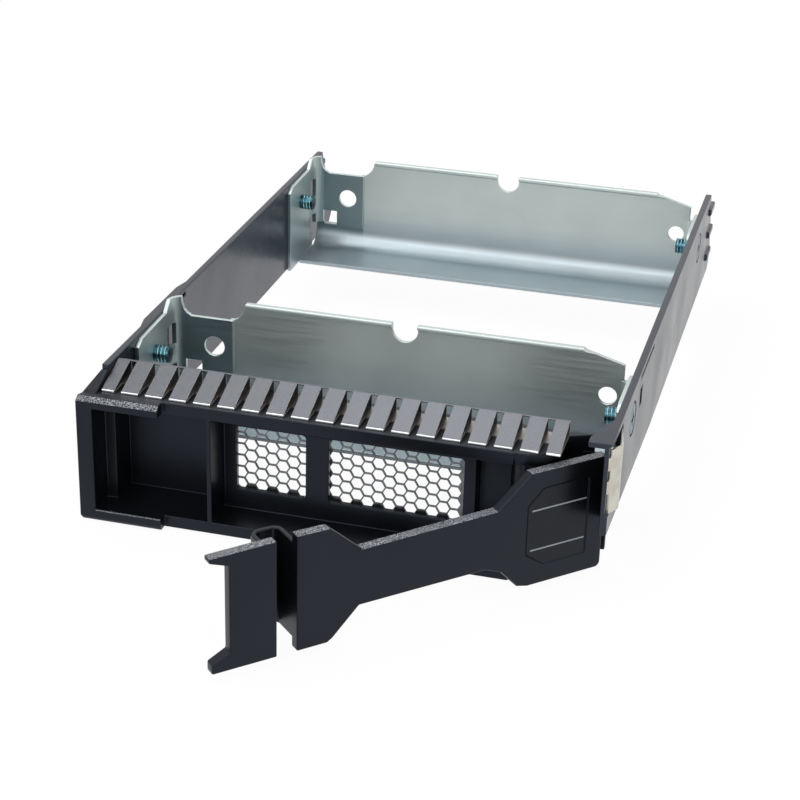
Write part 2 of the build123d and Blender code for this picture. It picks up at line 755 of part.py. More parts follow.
def vent_screen():
    """Perforated sheet of hexagon holes behind the two windows."""
    y0 = WINDOW_Y + WINDOW_WALL
    x0 = WINDOW_SPANS[0][0] - SCREEN_MARGIN
    x1 = WINDOW_SPANS[-1][1] + SCREEN_MARGIN / 2
    half = WINDOW_HEIGHT / 2 + SCREEN_MARGIN
    sheet = block(x0, x1, y0, y0 + SCREEN_SHEET, WINDOW_Z - half, WINDOW_Z + half)
    pitch_z = HEX_ACROSS_FLATS + HEX_WEB
    hexagon = RegularPolygon(HEX_ACROSS_FLATS / 2, 6, major_radius=False)
    tool = extrude(Plane.XZ * hexagon, amount=2, both=True)
    columns = int((x1 - x0) / HEX_PITCH_X) - 1
    rows = int(WINDOW_HEIGHT / pitch_z) + 1
    holes = []
    for i in range(columns):
        x = x0 + SCREEN_MARGIN + 0.4 + i * HEX_PITCH_X
        if not any(left - HEX_WEB < x < right + HEX_WEB for left, right in WINDOW_SPANS):
            continue
        for j in range(rows):
            offset_z = (j - (rows - 1) / 2 + i % 2 / 2) * pitch_z
            if abs(offset_z) < WINDOW_HEIGHT / 2 + HEX_WEB:
                holes.append(Pos(x, y0, WINDOW_Z + offset_z) * tool)
    return sheet - holes


def ground_clip():
    """Bowed spring strip whose prongs hook into the right rail's front edge."""
    x = RAIL_OUT
    y0 = FRONT + RIGHT_RAIL_START
    t = CLIP_SHEET
    z1 = RAIL_TOP - CLIP_FROM_TOP
    z0 = z1 - CLIP_HEIGHT
    crest = x + CLIP_STAND
    floor = x - CLIP_SEAT_DEPTH
    outline = [
        (floor, y0 + 0.1),
        (floor + t, y0 + 0.1),
        (floor + t, y0 + CLIP_SEAT - t),
        (crest, y0 + CLIP_BOW),
        (crest, y0 + CLIP_BOW + 1.2),
        (x, y0 + CLIP_LENGTH),
        (x, y0 + CLIP_LENGTH - 1.2),
        (crest - t, y0 + CLIP_BOW + 1.0),
        (crest - t, y0 + CLIP_BOW + 0.1),
        (floor, y0 + CLIP_SEAT),
    ]
    clip = plan_plate(outline, z0, z1)
    # Gaps beside the two prongs, from the lower end up
    prong = z1 - 1.1 - PRONG_HEIGHT
    gaps = (
        (z0 - 1, prong - PRONG_PITCH),
        (prong - PRONG_PITCH + PRONG_HEIGHT, prong),
        (prong + PRONG_HEIGHT, z1 + 1),
    )
    for low, high in gaps:
        clip -= block(floor - 1, x + 0.1, y0 - 1, y0 + CLIP_SEAT - 0.2, low, high)
    return clip


def main():
    os.makedirs("parts", exist_ok=True)
    wall_y = SCREW_Y + MEMBER_WALL_SETBACK
    pieces = {
        "front_bezel": bezel(),
        "left_rail": left_rail(),
        "right_rail": right_rail(),
        "front_cross_member": cross_member(wall_y),
        "rear_cross_member": cross_member(wall_y + HOLE_SPACING),
        "drive_screws": screws(),
        "release_lever": swung(lever_shut()),
        "lever_label": swung(label_shut()),
        "lever_pivot_pin": pivot_pin(),
        "gasket_finger_strip": finger_strip(),
        "vent_screen": vent_screen(),
        "ground_clip": ground_clip(),
    }
    for name, solid in pieces.items():
        export_step(solid, f"parts/{name}.step")
        print(name, len(solid.solids()), round(solid.volume, 1))


main()
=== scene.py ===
import bpy
import bmesh
import json
import math
from mathutils import Matrix, Vector


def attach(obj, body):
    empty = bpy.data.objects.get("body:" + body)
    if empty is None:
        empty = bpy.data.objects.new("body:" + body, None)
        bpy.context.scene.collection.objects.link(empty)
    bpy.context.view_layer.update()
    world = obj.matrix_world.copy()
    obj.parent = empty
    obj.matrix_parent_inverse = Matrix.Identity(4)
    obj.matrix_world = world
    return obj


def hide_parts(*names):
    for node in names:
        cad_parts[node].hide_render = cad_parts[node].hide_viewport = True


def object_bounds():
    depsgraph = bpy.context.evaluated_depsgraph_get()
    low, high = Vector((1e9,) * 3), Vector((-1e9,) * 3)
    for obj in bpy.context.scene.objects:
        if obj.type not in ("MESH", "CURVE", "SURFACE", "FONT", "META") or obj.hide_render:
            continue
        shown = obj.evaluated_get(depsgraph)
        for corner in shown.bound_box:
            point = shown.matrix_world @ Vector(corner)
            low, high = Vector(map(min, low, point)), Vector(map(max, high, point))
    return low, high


mm = 0.001
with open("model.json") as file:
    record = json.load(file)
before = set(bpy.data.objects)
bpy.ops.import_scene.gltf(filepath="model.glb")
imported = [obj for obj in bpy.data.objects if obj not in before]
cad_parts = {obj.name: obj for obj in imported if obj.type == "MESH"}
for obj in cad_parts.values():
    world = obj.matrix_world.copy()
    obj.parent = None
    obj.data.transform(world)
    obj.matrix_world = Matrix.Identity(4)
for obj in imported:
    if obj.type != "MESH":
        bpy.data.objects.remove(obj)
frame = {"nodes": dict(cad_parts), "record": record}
cadLow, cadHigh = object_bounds()
behaviour = frame["record"]["behaviour"]
bodyOf = {node: body for body, nodes in behaviour["bodies"].items() for node in nodes}

# the lever's hinge; the lever is open at rest, and turning back by its swing shuts it
hinge = behaviour["joints"][0]
pivot = Vector((*hinge["pos_m"][:2], 0))
swing = math.radians(-hinge["range_deg"][0])
shutTurn = Matrix.Rotation(-swing, 3, "Z")
print("frame loaded:", len(frame["nodes"]), "nodes")


# small helpers

def hexColour(text):
    # sRGB hex text as a linear colour
    parts = [int(text[i:i + 2], 16) / 255 for i in (1, 3, 5)]
    linear = [c / 12.92 if c <= 0.04045 else ((c + 0.055) / 1.055) ** 2.4 for c in parts]
    return (*linear, 1.0)


def addNode(tree, kind, settings=None, links=None):
    # settings: attributes or socket values by name or index; links: socket to source socket
    node = tree.nodes.new(kind)
    for key, value in (settings or {}).items():
        if isinstance(key, int) or key in node.inputs:
            node.inputs[key].default_value = value
        else:
            setattr(node, key, value)
    for key, source in (links or {}).items():
        tree.links.new(source, node.inputs[key])
    return node


def rampPoints(node, stops):
    ramp = node.color_ramp
    while len(ramp.elements) < len(stops):
        ramp.elements.new(0.5)
    for element, (place, colour) in zip(ramp.elements, stops):
        element.position = place
        element.color = colour
    return node


def linked(name, data):
    # a new object in the scene
    item = bpy.data.objects.new(name, data)
    bpy.context.scene.collection.objects.link(item)
    return item


def newMaterial(name):
    material = bpy.data.materials.new(name)
    material.use_nodes = True
    tree = material.node_tree
    tree.nodes.clear()
    output = addNode(tree, "ShaderNodeOutputMaterial")
    shader = addNode(tree, "ShaderNodeBsdfPrincipled")
    tree.links.new(shader.outputs["BSDF"], output.inputs["Surface"])
    coords = addNode(tree, "ShaderNodeTexCoord")
    return material, tree, shader, coords.outputs["Object"]


def varied(tree, shader, values, tone=None, gloss=None, relief=None):
    # lets a finish vary, each part after its own pattern: drift between two tones, gloss, relief
    if gloss is None:
        shader.inputs["Roughness"].default_value = values["roughness"]
    else:
        spread = addNode(
            tree, "ShaderNodeMapRange",
            {
                "From Min": values["glossSpan"][0],
                "From Max": values["glossSpan"][1],
                "To Min": values["roughness"] - values["glossFall"],
                "To Max": values["roughness"] + values["glossRise"],
            },
            {"Value": gloss},
        )
        tree.links.new(spread.outputs["Result"], shader.inputs["Roughness"])
    if relief is not None:
        bump = addNode(
            tree, "ShaderNodeBump",
            {"Strength": values["relief"], "Distance": values["reliefDepth"]}, {"Height": relief},
        )
        tree.links.new(bump.outputs["Normal"], shader.inputs["Normal"])
    if tone is None:
        return None
    tones = rampPoints(
        addNode(tree, "ShaderNodeValToRGB", None, {"Fac": tone}),
        [(place, hexColour(text)) for place, text in zip(values["toneSpan"], values["tones"])],
    )
    return tones.outputs["Color"]


# finishes

mouldedBlack = {
    "tones": ("#060708", "#0d0e11"),
    "toneSpan": (0.3, 0.75),
    "roughness": 0.31,
    "glossSpan": (0.4, 0.9),
    "glossFall": 0.05,
    "glossRise": 0.08,
    "flow": 16 * mm,  # slow flow marks of the moulding
    "flowDetail": 4.0,
    "grain": 0.3 * mm,  # fine tool grain, drawn a little coarse so that it shows
    "grainDetail": 2.0,
    "grainShare": 0.3,  # how much of the grain joins the flow marks in the gloss
    "relief": 0.55,
    "reliefDepth": 0.02 * mm,
    "ior": 1.38,
    "sheen": "#d3e2ff",
}
railBlack = {
    **mouldedBlack,
    "tones": ("#0b0c0f", "#15161a"),
    "roughness": 0.26,
    "relief": 0.06,
    "ior": 1.58,
}


def mouldedPlastic(name, values):
    # ABS from a polished tool: satin black with a faint blue cast and soft flow marks
    material, tree, shader, place = newMaterial(name)
    flow = addNode(
        tree, "ShaderNodeTexNoise",
        {"Scale": 1 / values["flow"], "Detail": values["flowDetail"]}, {"Vector": place},
    )
    grain = addNode(
        tree, "ShaderNodeTexNoise",
        {"Scale": 1 / values["grain"], "Detail": values["grainDetail"]}, {"Vector": place},
    )
    wear = addNode(
        tree, "ShaderNodeMath", {"operation": "MULTIPLY", 1: values["grainShare"]},
        {0: grain.outputs["Fac"]},
    )
    uneven = addNode(
        tree, "ShaderNodeMath", {"operation": "ADD"}, {0: flow.outputs["Fac"], 1: wear.outputs[0]}
    )
    tint = varied(
        tree, shader, values,
        tone=flow.outputs["Fac"], gloss=uneven.outputs[0], relief=grain.outputs["Fac"],
    )
    tree.links.new(tint, shader.inputs["Base Color"])
    shader.inputs["IOR"].default_value = values["ior"]
    shader.inputs["Specular Tint"].default_value = hexColour(values["sheen"])
    return material


sparkErodedGlint = {
    "tones": ("#0e1014", "#b2b6be"),  # pits, and crests with a painted glint
    "toneSpan": (0.44, 0.7),
    "grain": 0.2 * mm,  # a spark-eroded tool leaves pits of about this size
    "grainDetail": 1.5,
    "relief": 1.0,
    "reliefDepth": 0.12 * mm,
    "roughness": 0.4,
    "ior": 1.5,
}


def sparkErodedGlintPlastic(name, values):
    # the same ABS from a spark-eroded strip: it glitters like fine sandpaper, its crests a painted
    # glint
    material, tree, shader, place = newMaterial(name)
    grain = addNode(
        tree, "ShaderNodeTexNoise",
        {"Scale": 1 / values["grain"], "Detail": values["grainDetail"]}, {"Vector": place},
    )
    tint = varied(tree, shader, values, tone=grain.outputs["Fac"], relief=grain.outputs["Fac"])
    tree.links.new(tint, shader.inputs["Base Color"])
    shader.inputs["IOR"].default_value = values["ior"]
    return material


zincSheet = {
    "upper": "#bfc9c7",
    "lower": "#a3aeb4",
    "lowerTop": 10 * mm,  # all lower tone up to here
    "upperFoot": 22 * mm,  # all upper tone from here
    "panelPaintedShade": "#76888d",  # painted shade on the pressed panel at the left end
    "panelEdge": -36.9 * mm,
    "panelBlend": 0.3 * mm,
    "panelFoot": (12.5 * mm, 14.5 * mm),  # the painted shade comes in between these heights
    "facingFront": (-0.6, -0.95),  # and as a face turns from here to the front
    "spangle": 9 * mm,  # soft clouds in the zinc
    "spangleDetail": 4.0,
    "spangleSpan": (0.3, 0.7),
    "spangleTint": (0.96, 1.03),
    "rollLine": 0.5 * mm,  # rolling lines, drawn coarser than real ones so that they show
    "rollDetail": 3.0,
    "rollStretch": 0.03,
    "roughness": 0.4,
    "glossSpan": (0.3, 0.7),
    "glossFall": 0.04,
    "glossRise": 0.06,
    "relief": 0.06,
    "reliefDepth": 0.01 * mm,
    "metallic": 0.9,
}


def galvanisedSheet(name, values):
    # blue-passivated zinc on rolled sheet: cool grey-green above, bluer near the fold, with
    # faint rolling lines; painted shade on the pressed panel at the left end
    material, tree, shader, place = newMaterial(name)
    axes = addNode(tree, "ShaderNodeSeparateXYZ", None, {0: place})
    height = addNode(
        tree, "ShaderNodeMapRange",
        {
            "interpolation_type": "SMOOTHSTEP",
            "From Min": values["lowerTop"],
            "From Max": values["upperFoot"],
            "To Min": 1.0,
            "To Max": 0.0,
        },
        {"Value": axes.outputs["Z"]},
    )
    sheet = addNode(
        tree, "ShaderNodeMix",
        {"data_type": "RGBA", 6: hexColour(values["upper"]), 7: hexColour(values["lower"])},
        {0: height.outputs["Result"]},
    )

    # painted shade on the pressed panel: left of its edge, above its foot, on the face that looks
    # forward
    leftOf = addNode(
        tree, "ShaderNodeMapRange",
        {
            "From Min": values["panelEdge"] - values["panelBlend"],
            "From Max": values["panelEdge"],
            "To Min": 1.0,
            "To Max": 0.0,
        },
        {"Value": axes.outputs["X"]},
    )
    geometry = addNode(tree, "ShaderNodeNewGeometry")
    facing = addNode(tree, "ShaderNodeSeparateXYZ", None, {0: geometry.outputs["Normal"]})
    forward = addNode(
        tree, "ShaderNodeMapRange",
        {"From Min": values["facingFront"][0], "From Max": values["facingFront"][1]},
        {"Value": facing.outputs["Y"]},
    )
    above = addNode(
        tree, "ShaderNodeMapRange",
        {"From Min": values["panelFoot"][0], "From Max": values["panelFoot"][1]},
        {"Value": axes.outputs["Z"]},
    )
    front = addNode(
        tree, "ShaderNodeMath", {"operation": "MULTIPLY"},
        {0: leftOf.outputs["Result"], 1: forward.outputs["Result"]},
    )
    panelShadeMask = addNode(
        tree, "ShaderNodeMath", {"operation": "MULTIPLY"},
        {0: front.outputs[0], 1: above.outputs["Result"]},
    )
    # the painted shade is mixed into the zinc's colour here
    tone = addNode(
        tree, "ShaderNodeMix", {"data_type": "RGBA", 7: hexColour(values["panelPaintedShade"])},
        {0: panelShadeMask.outputs[0], 6: sheet.outputs[2]},
    )

    spangle = addNode(
        tree, "ShaderNodeTexNoise",
        {"Scale": 1 / values["spangle"], "Detail": values["spangleDetail"]}, {"Vector": place},
    )
    cloudy = addNode(
        tree, "ShaderNodeMapRange",
        {
            "From Min": values["spangleSpan"][0],
            "From Max": values["spangleSpan"][1],
            "To Min": values["spangleTint"][0],
            "To Max": values["spangleTint"][1],
        },
        {"Value": spangle.outputs["Fac"]},
    )
    tint = addNode(
        tree, "ShaderNodeVectorMath", {"operation": "SCALE"},
        {0: tone.outputs[2], "Scale": cloudy.outputs["Result"]},
    )
    stretched = addNode(
        tree, "ShaderNodeMapping", {"Scale": (values["rollStretch"], 1.0, 1.0)}, {"Vector": place}
    )
    lines = addNode(
        tree, "ShaderNodeTexNoise",
        {"Scale": 1 / values["rollLine"], "Detail": values["rollDetail"]},
        {"Vector": stretched.outputs[0]},
    )
    varied(tree, shader, values, gloss=lines.outputs["Fac"], relief=lines.outputs["Fac"])
    tree.links.new(tint.outputs[0], shader.inputs["Base Color"])
    shader.inputs["Metallic"].default_value = values["metallic"]
    return material


plating = {
    "toneSpan": (0.35, 0.65),
    "glossSpan": (0.3, 0.7),
    "glossFall": 0.04,
    "glossRise": 0.06,
    "speckleDetail": 3.0,
    "metallic": 1.0,
}
# each speckle is drawn coarser than the plating's own so that it shows
platings = {
    # mid grey wires that stand out against the light behind the screen
    "platedScreen": {"tones": ("#5c6063", "#74787b"), "roughness": 0.3, "speckle": 1.5 * mm},
    # warm, almost white and a little cloudy
    "nickelPlate": {"tones": ("#bdb9ae", "#cfccc2"), "roughness": 0.34, "speckle": 3 * mm},
    # clear light blue, bright on the thread
    "blueZinc": {"tones": ("#5d93a3", "#9cc3cc"), "roughness": 0.2, "speckle": 1.2 * mm},
    # the same zinc, darkened as painted shade for the screws' heads deep in their wells
    "blueZincPaintedShade": {"tones": ("#152127", "#4f7a88"), "roughness": 0.3, "speckle": 1.6 * mm},
    # plain bright pin steel
    "groundSteel": {"tones": ("#8a8c8e", "#a4a6a8"), "roughness": 0.25, "speckle": 1 * mm},
}


def platedMetal(name):
    # plated or ground metal: even colour broken by a fine speckle
    values = {**plating, **platings[name]}
    material, tree, shader, place = newMaterial(name)
    speckle = addNode(
        tree, "ShaderNodeTexNoise",
        {"Scale": 1 / values["speckle"], "Detail": values["speckleDetail"]}, {"Vector": place},
    )
    tint = varied(tree, shader, values, tone=speckle.outputs["Fac"], gloss=speckle.outputs["Fac"])
    tree.links.new(tint, shader.inputs["Base Color"])
    shader.inputs["Metallic"].default_value = values["metallic"]
    return material


springSheet = {
    "tones": ("#5c5e62", "#6b6d71"),
    "toneSpan": (0.3, 0.7),
    # painted highlight: almost white on the cut edges
    "edgePaintedHighlight": "#e4e6e8",
    "edgeFacing": 0.5,  # faces that look to the right at least this far are cut edges
    "edgeScatter": 0.85,
    # painted reflection: a lighter warm grey on the flat spine below spineTop
    "spine": "#9f9a94",
    "spineTop": 28.35 * mm,
    # painted highlight: almost white on the fingers' front lips
    "lipPaintedHighlight": "#f2f4f6",
    "lipBehind": -3.98 * mm,  # the fingers' turned-down front lips lie before this plane
    "roughness": 0.36,
    "glossSpan": (0.3, 0.7),
    "glossFall": 0.05,
    "glossRise": 0.08,
    "speckle": 0.3 * mm,  # drawn a little coarse so that it shows
    "speckleDetail": 2.0,
}


def rolledStainless(name, values):
    # rolled spring stainless: satin grey, fine speckle; painted highlights on lips and cut edges
    material, tree, shader, place = newMaterial(name)
    speckle = addNode(
        tree, "ShaderNodeTexNoise",
        {"Scale": 1 / values["speckle"], "Detail": values["speckleDetail"]}, {"Vector": place},
    )
    axes = addNode(tree, "ShaderNodeSeparateXYZ", None, {0: place})
    geometry = addNode(tree, "ShaderNodeNewGeometry")
    facing = addNode(tree, "ShaderNodeSeparateXYZ", None, {0: geometry.outputs["Normal"]})
    edgeHighlightMask = addNode(
        tree, "ShaderNodeMath", {"operation": "GREATER_THAN", 1: values["edgeFacing"]},
        {0: facing.outputs["X"]},
    )
    spine = addNode(
        tree, "ShaderNodeMath", {"operation": "LESS_THAN", 1: values["spineTop"]},
        {0: axes.outputs["Z"]},
    )
    lipPaintedHighlight = addNode(
        tree, "ShaderNodeMath", {"operation": "LESS_THAN", 1: values["lipBehind"]},
        {0: axes.outputs["Y"]},
    )
    tint = varied(tree, shader, values, tone=speckle.outputs["Fac"], gloss=speckle.outputs["Fac"])
    # painted highlights on the cut edges and lips, painted reflection on the spine
    for mask, tone in ((edgeHighlightMask, "edgePaintedHighlight"), (spine, "spine"), (lipPaintedHighlight, "lipPaintedHighlight")):
        tint = addNode(
            tree, "ShaderNodeMix", {"data_type": "RGBA", 7: hexColour(values[tone])},
            {0: mask.outputs[0], 6: tint},
        ).outputs[2]
    # the cut edges are made less metallic, so that their painted highlight shows matt
    metal = addNode(
        tree, "ShaderNodeMath", {"operation": "MULTIPLY_ADD", 1: -values["edgeScatter"], 2: 1.0},
        {0: edgeHighlightMask.outputs[0]},
    )
    tree.links.new(tint, shader.inputs["Base Color"])
    tree.links.new(metal.outputs[0], shader.inputs["Metallic"])
    return material


labelPrint = {
    "tones": ("#050609", "#0b0c10"),
    "toneSpan": (0.3, 0.7),
    "grain": 0.5 * mm,  # the film's matt grain, drawn coarse so that it shows
    "grainDetail": 3.0,
    "relief": 0.3,
    "reliefDepth": 0.02 * mm,
    "rule": "#7f838a",
    "ruleWidth": 0.32 * mm,
    "ruleHeights": (17.7 * mm, 9.05 * mm),
    "ruleCentre": 36.8 * mm,
    "ruleHalf": 6.3 * mm,
    "roughness": 0.34,
    "ior": 1.36,
    "sheen": "#e4edff",
}


def printedFilm(name, values):
    # matt polyester film, screen printed with two thin rules and otherwise bare
    material, tree, shader, place = newMaterial(name)
    # the rules are placed on the shut lever, where they run along X
    shut = addNode(
        tree, "ShaderNodeMapping",
        {"Location": pivot - shutTurn @ pivot, "Rotation": (0, 0, -swing)}, {"Vector": place},
    )
    axes = addNode(tree, "ShaderNodeSeparateXYZ", None, {0: shut.outputs[0]})
    along = addNode(
        tree, "ShaderNodeMath",
        {"operation": "COMPARE", 1: values["ruleCentre"], 2: values["ruleHalf"]},
        {0: axes.outputs["X"]},
    )
    upper, lower = [
        addNode(
            tree, "ShaderNodeMath", {"operation": "COMPARE", 1: level, 2: values["ruleWidth"] / 2},
            {0: axes.outputs["Z"]},
        )
        for level in values["ruleHeights"]
    ]
    either = addNode(
        tree, "ShaderNodeMath", {"operation": "MAXIMUM"}, {0: upper.outputs[0], 1: lower.outputs[0]}
    )
    ink = addNode(
        tree, "ShaderNodeMath", {"operation": "MULTIPLY"},
        {0: either.outputs[0], 1: along.outputs[0]},
    )
    grain = addNode(
        tree, "ShaderNodeTexNoise",
        {"Scale": 1 / values["grain"], "Detail": values["grainDetail"]}, {"Vector": place},
    )
    film = varied(tree, shader, values, tone=grain.outputs["Fac"], relief=grain.outputs["Fac"])
    tint = addNode(
        tree, "ShaderNodeMix", {"data_type": "RGBA", 7: hexColour(values["rule"])},
        {0: ink.outputs[0], 6: film},
    )
    tree.links.new(tint.outputs[2], shader.inputs["Base Color"])
    shader.inputs["IOR"].default_value = values["ior"]
    shader.inputs["Specular Tint"].default_value = hexColour(values["sheen"])
    return material


blackAbs = mouldedPlastic("mouldedBlackAbs", mouldedBlack)
railAbs = mouldedPlastic("mouldedRailBlack", railBlack)
sparkGlintAbs = sparkErodedGlintPlastic("sparkErodedGlintAbs", sparkErodedGlint)
zincSteel = galvanisedSheet("passivatedZinc", zincSheet)
stainlessSpring = rolledStainless("rolledStainless", springSheet)
brightScreen = platedMetal("platedScreen")
nickelClip = platedMetal("nickelPlate")
blueZinc = platedMetal("blueZinc")
screwHeads = platedMetal("blueZincPaintedShade")
groundSteel = platedMetal("groundSteel")
labelFilm = printedFilm("printedLabelFilm", labelPrint)
print("finishes made")


# pieces softened from their solids

bezelFront = -7.6 * mm
spark = {
    "bandFoot": 26.9 * mm,  # the bevel along the bezel's upper front edge
    "bandDepth": 0.8 * mm,
    "bandLean": (0.2, 0.9),  # how far its normal leans up
    "sillTop": 4 * mm,  # the step below the finger recess
    "sillDepth": 0.55 * mm,
    "sillRight": -34 * mm,
    "leverBack": -5 * mm,  # the upper edges of the lever's plate
    "leverFoot": 15 * mm,
    "flat": 0.9,  # a face is level if its normal leans up at least this far
}
heel = {
    "level": 1.35 * mm,
    "left": 43 * mm,
    "step": (3 * mm, 4 * mm),  # the heights of the corners that come down to the level
    "back": -5 * mm,
    "cornerLeft": 47.2 * mm,
    "corner": 1.2 * mm,
    "segments": 4,
}
softening = {
    "weld": 1e-6,
    "cutReach": 1e-7,
    "flatAngle": 0.5,  # degrees up to which neighbouring faces are one flat
    "edgeAngle": 35,  # degrees from which an edge is rounded
    "segments": 2,
    "weight": 100,
}


def shutPlace(point):
    # where a point of the open lever lies when the lever is shut
    return pivot + shutTurn @ (point - pivot)


def bezelSpark(centre, normal):
    low, high = spark["bandLean"]
    upper = centre.z > spark["bandFoot"] and centre.y < bezelFront + spark["bandDepth"]
    lower = centre.z < spark["sillTop"] and centre.y < bezelFront + spark["sillDepth"]
    sill = lower and normal.z > spark["flat"] and centre.x < spark["sillRight"]
    return sill or (upper and low < normal.z < high)


def leverSpark(centre, normal):
    place = shutPlace(centre)
    plate = place.y < spark["leverBack"] and place.z > spark["leverFoot"]
    return plate and normal.z > spark["flat"]


def squareHeel(work):
    # the heel's lower edge runs level to a rounded corner at the lever's end
    low, high = heel["step"]
    for vert in work.verts:
        place = shutPlace(vert.co)
        if place.x > heel["left"] and low < place.z < high and place.y < heel["back"]:
            vert.co.z = heel["level"]
    corner = [
        edge for edge in work.edges
        if all(
            shutPlace(v.co).x > heel["cornerLeft"] and v.co.z < heel["level"] + softening["weld"]
            for v in edge.verts
        )
    ]
    bmesh.ops.bevel(
        work, geom=corner, offset=heel["corner"], segments=heel["segments"], affect="EDGES",
        profile=0.5,
    )


softEdges = {
    "front_bezel": {
        "finish": blackAbs,
        "width": 0.24 * mm,
        "accent": (sparkGlintAbs, bezelSpark),
        "cut": bezelFront + 0.5 * mm,  # parts the faces where the spark-eroded sill ends
    },
    "left_rail": {"finish": railAbs, "width": 0.2 * mm},
    "right_rail": {"finish": railAbs, "width": 0.2 * mm},
    "front_cross_member": {"finish": zincSteel, "width": 0.1 * mm},
    "rear_cross_member": {"finish": zincSteel, "width": 0.1 * mm},
    "release_lever": {
        "finish": blackAbs,
        "width": 0.32 * mm,
        "accent": (sparkGlintAbs, leverSpark),
        "change": squareHeel,
    },
    "lever_label": {"finish": labelFilm, "width": 0.05 * mm},
    "ground_clip": {"finish": nickelClip, "width": 0.06 * mm},
}
plainFinish = {
    # the screws are darkened by painted shade
    "drive_screws": screwHeads,
    "lever_pivot_pin": groundSteel,
    "vent_screen": brightScreen,
}


def softened(node, values):
    # copy of a CAD solid with rounded edges, which then stands for it
    accent, isAccent = values.get("accent", (None, None))
    mesh = frame["nodes"][node].data.copy()
    mesh.name = node + "_soft"
    mesh.materials.clear()
    mesh.materials.append(values["finish"])
    if accent:
        mesh.materials.append(accent)
    work = bmesh.new()
    work.from_mesh(mesh)
    bmesh.ops.remove_doubles(work, verts=work.verts, dist=softening["weld"])
    bmesh.ops.dissolve_limit(
        work, angle_limit=math.radians(softening["flatAngle"]), verts=work.verts,
        edges=work.edges, use_dissolve_boundaries=False,
    )
    if "change" in values:
        values["change"](work)
    if "cut" in values:
        bmesh.ops.bisect_plane(
            work, geom=work.verts[:] + work.edges[:] + work.faces[:],
            dist=softening["cutReach"], plane_co=(0, values["cut"], 0), plane_no=(0, 1, 0),
        )
    work.normal_update()
    for face in work.faces:
        face.smooth = True
        marked = accent and isAccent(face.calc_center_median(), face.normal)
        face.material_index = 1 if marked else 0
    work.to_mesh(mesh)
    work.free()
    piece = linked(node + "_soft", mesh)
    bevel = piece.modifiers.new("edges", "BEVEL")
    bevel.width = values["width"]
    bevel.segments = softening["segments"]
    bevel.limit_method = "ANGLE"
    bevel.angle_limit = math.radians(softening["edgeAngle"])
    bevel.use_clamp_overlap = False
    # keeps wide flats flat beside their bends
    shading = piece.modifiers.new("flatFaces", "WEIGHTED_NORMAL")
    shading.mode = "FACE_AREA"
    shading.weight = softening["weight"]
    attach(piece, bodyOf[node])
    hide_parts(node)


for node, values in softEdges.items():
    softened(node, values)
for node, finish in plainFinish.items():
    source = frame["nodes"][node]
    source.data.materials.clear()
    source.data.materials.append(finish)
print("pieces softened and dressed")


# what repeats: the strip's spring fingers and the screws' thread turns

def newTree(name, inputs):
    # a tree with a geometry output and the named inputs, and the sockets that give them
    tree = bpy.data.node_groups.new(name, "GeometryNodeTree")
    tree.interface.new_socket(name="Geometry", in_out="OUTPUT", socket_type="NodeSocketGeometry")
    for title, kind in inputs.items():
        tree.interface.new_socket(name=title, in_out="INPUT", socket_type=kind)
    return tree, addNode(tree, "NodeGroupInput").outputs


def closeTree(tree, geometry, finish):
    # instances made real and given their finish
    real = addNode(tree, "GeometryNodeRealizeInstances", None, {0: geometry})
    finished = addNode(
        tree, "GeometryNodeSetMaterial", None, {"Geometry": real.outputs[0], "Material": finish}
    )
    addNode(tree, "NodeGroupOutput", None, {0: finished.outputs[0]})


def plainMesh(name, source, tree, inputs):
    # runs a tree on an object and keeps its result as an ordinary mesh; the carrier goes again,
    # with its modifier
    carrier = linked(name + "Carrier", source)
    modifier = carrier.modifiers.new("repeat", "NODES")
    modifier.node_group = tree
    for socket in tree.interface.items_tree:
        if socket.in_out == "INPUT" and socket.name in inputs:
            modifier[socket.identifier] = inputs[socket.name]
    bpy.context.view_layer.update()
    result = carrier.evaluated_get(bpy.context.evaluated_depsgraph_get())
    mesh = bpy.data.meshes.new_from_object(result)
    mesh.name = name
    bpy.data.objects.remove(carrier)
    return mesh


comb = {
    "count": 19,
    "pitch": 5.1 * mm,
    "width": 3.55 * mm,
    "firstWidth": 2.75 * mm,
    "lastWidth": 2.6 * mm,
    "rightEdge": 42.7 * mm,
    "leftEdge": -50.9 * mm,
    "seat": 28.1 * mm,
    "rear": 5.7 * mm,
    "run": 9.8 * mm,
    "rise": 3.5 * mm,
    "lipRise": 0.5 * mm,
    "lipFoot": 0.05 * mm,
    # back from and above the lip's upper front corner
    "lipCorner": ((0.0, -0.18 * mm), (0.06 * mm, -0.05 * mm), (0.2 * mm, 0.02 * mm)),
    "spine": 5.1 * mm,
    "padFront": 0.6 * mm,
    "padLap": 0.02 * mm,
    "sheet": 0.2 * mm,
    "crestRadius": 0.75 * mm,
    "crestDrop": 0.25,  # share of the crest's radius that the slope falls short by
    "rollSteps": 8,
    "rollFoot": 0.1 * mm,
    "barSteps": 5,  # points of the roll that the bar follows
    "barSink": 0.03 * mm,
    "barLead": 0.1 * mm,
    "edge": 0.05 * mm,
    "sharp": 50,  # degrees from which an edge is rounded
}


def lipPoints(values):
    # the turned-down front lip, from its foot round its upper corner
    front = values["rear"] - values["run"]
    lipTop = values["seat"] + values["lipRise"]
    foot = Vector((front, values["seat"] + values["lipFoot"]))
    return [foot] + [Vector((front + y, lipTop + z)) for y, z in values["lipCorner"]]


def rollPoints(values):
    # the roll at the crest, from the end of the slope to the rear
    radius = values["crestRadius"]
    centre = Vector((values["rear"] - radius, values["seat"] + values["rise"] - radius))
    slope = math.atan2(
        values["rise"] - values["lipRise"] - values["crestDrop"] * radius,
        values["run"] - 2 * radius,
    )
    steps = values["rollSteps"]
    points = []
    for step in range(steps + 1):
        angle = math.pi / 2 + slope - step * (math.pi / 2 + slope) / steps
        points.append(centre + radius * Vector((math.cos(angle), math.sin(angle))))
    return points


